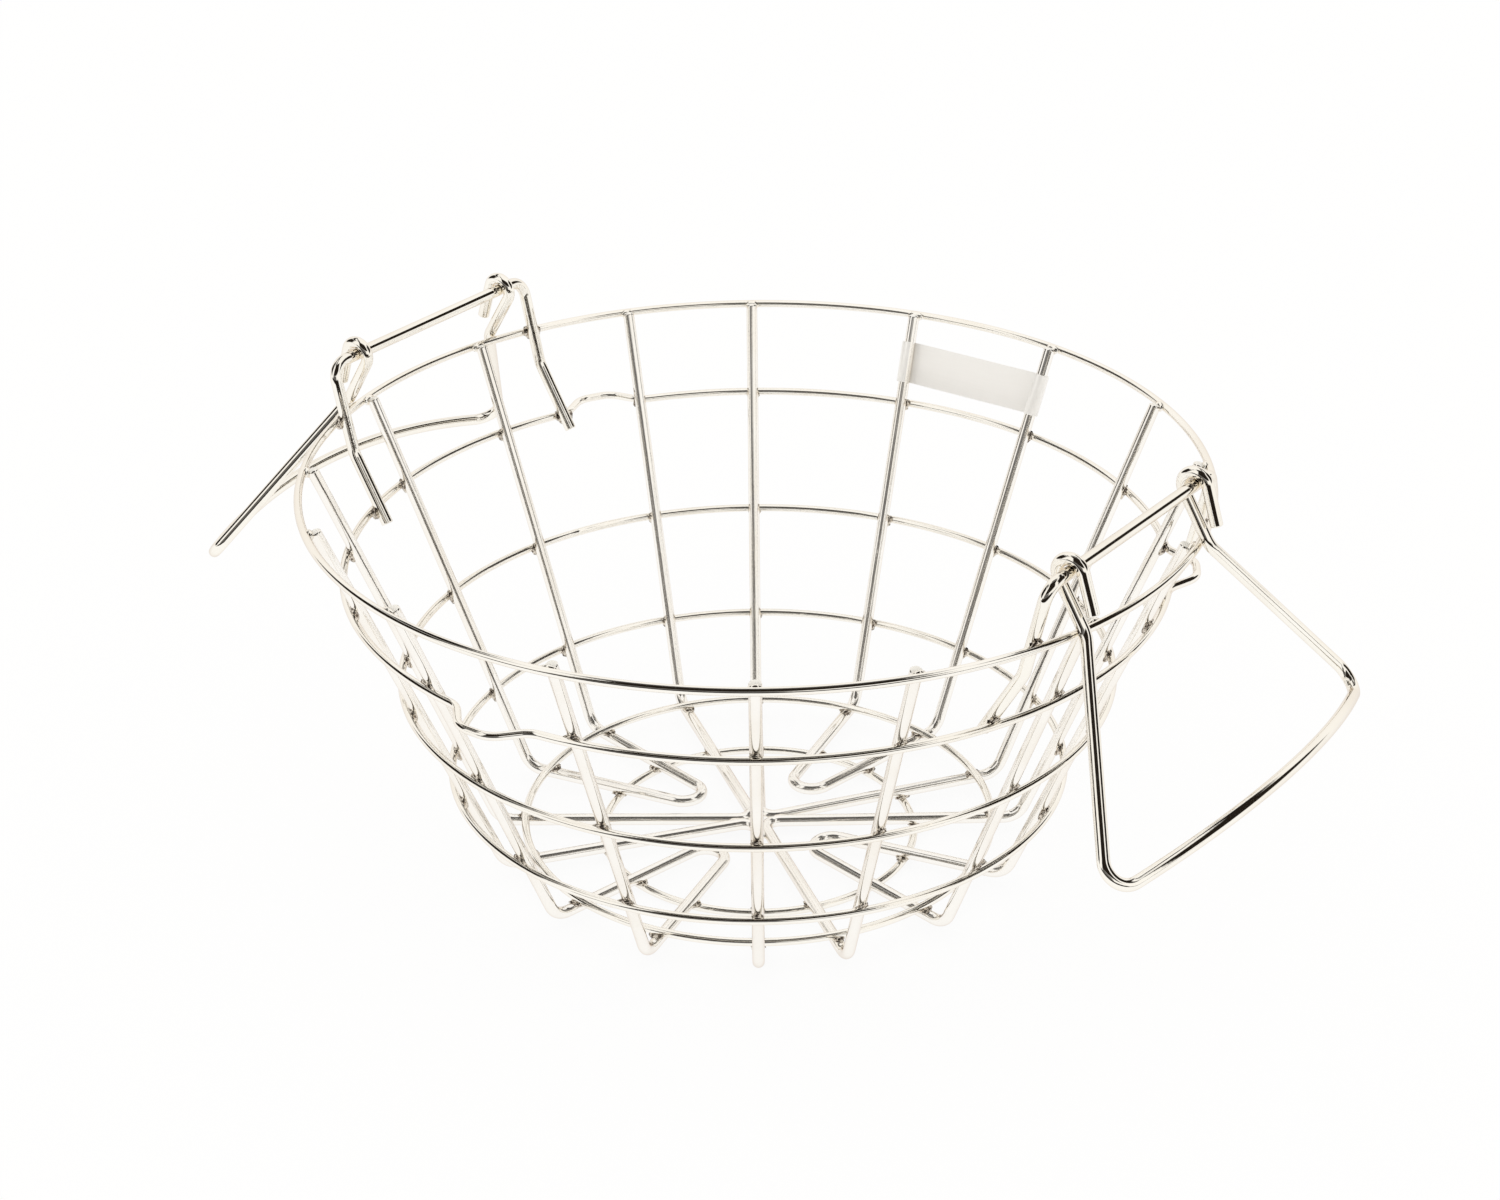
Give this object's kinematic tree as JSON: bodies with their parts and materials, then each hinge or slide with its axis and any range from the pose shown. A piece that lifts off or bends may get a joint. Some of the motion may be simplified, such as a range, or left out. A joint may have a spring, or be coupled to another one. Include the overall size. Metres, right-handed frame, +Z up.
{
  "type": "wire egg basket",
  "caption": "Round tapered basket of bright welded wire with a spoked floor, a standing ring, hinge brackets on the rim and drop handles, for collecting eggs or carrying small produce.",
  "frame": {"origin": "middle of the whole object's footprint, on the plane that its standing ring rests on", "axes": "+Z up along the basket's axis, +X towards the right handle, +Y towards the name plate at the back"},
  "size_m": [0.4706, 0.3556, 0.1941],
  "materials": {
    "ring_wire": "bright plated wire, polished",
    "upright_wire": "bright plated wire, polished, with small weld marks",
    "bracket_wire": "bright plated wire, polished",
    "handle_wire": "bright plated wire, polished",
    "plate": "bright rolled sheet, bare"
  },
  "bodies": {
    "basket": {"rim_ring": "ring_wire", "lug_ring": "ring_wire", "middle_ring": "ring_wire", "lower_ring": "ring_wire", "base_ring": "ring_wire", "standing_ring": "ring_wire", "hub_wire_right": "upright_wire", "hub_wire_back": "upright_wire", "hub_wire_left": "upright_wire", "hub_wire_front": "upright_wire", "hairpin_wire_right": "upright_wire", "hairpin_wire_back": "upright_wire", "hairpin_wire_left": "upright_wire", "hairpin_wire_front": "upright_wire", "right_bracket": "bracket_wire", "left_bracket": "bracket_wire", "name_plate": "plate"},
    "right_handle": {"right_handle": "handle_wire"},
    "left_handle": {"left_handle": "handle_wire"}
  },
  "joints": [
    {"name": "right_handle_hinge", "type": "hinge", "parent": "basket", "child": "right_handle", "pos_m": [0.16776, 0, 0.18683], "axis": [0, -1, 0], "range_deg": [0, 296]},
    {"name": "left_handle_hinge", "type": "hinge", "parent": "basket", "child": "left_handle", "pos_m": [-0.16776, 0, 0.18683], "axis": [0, 1, 0], "range_deg": [0, 296]}
  ]
}
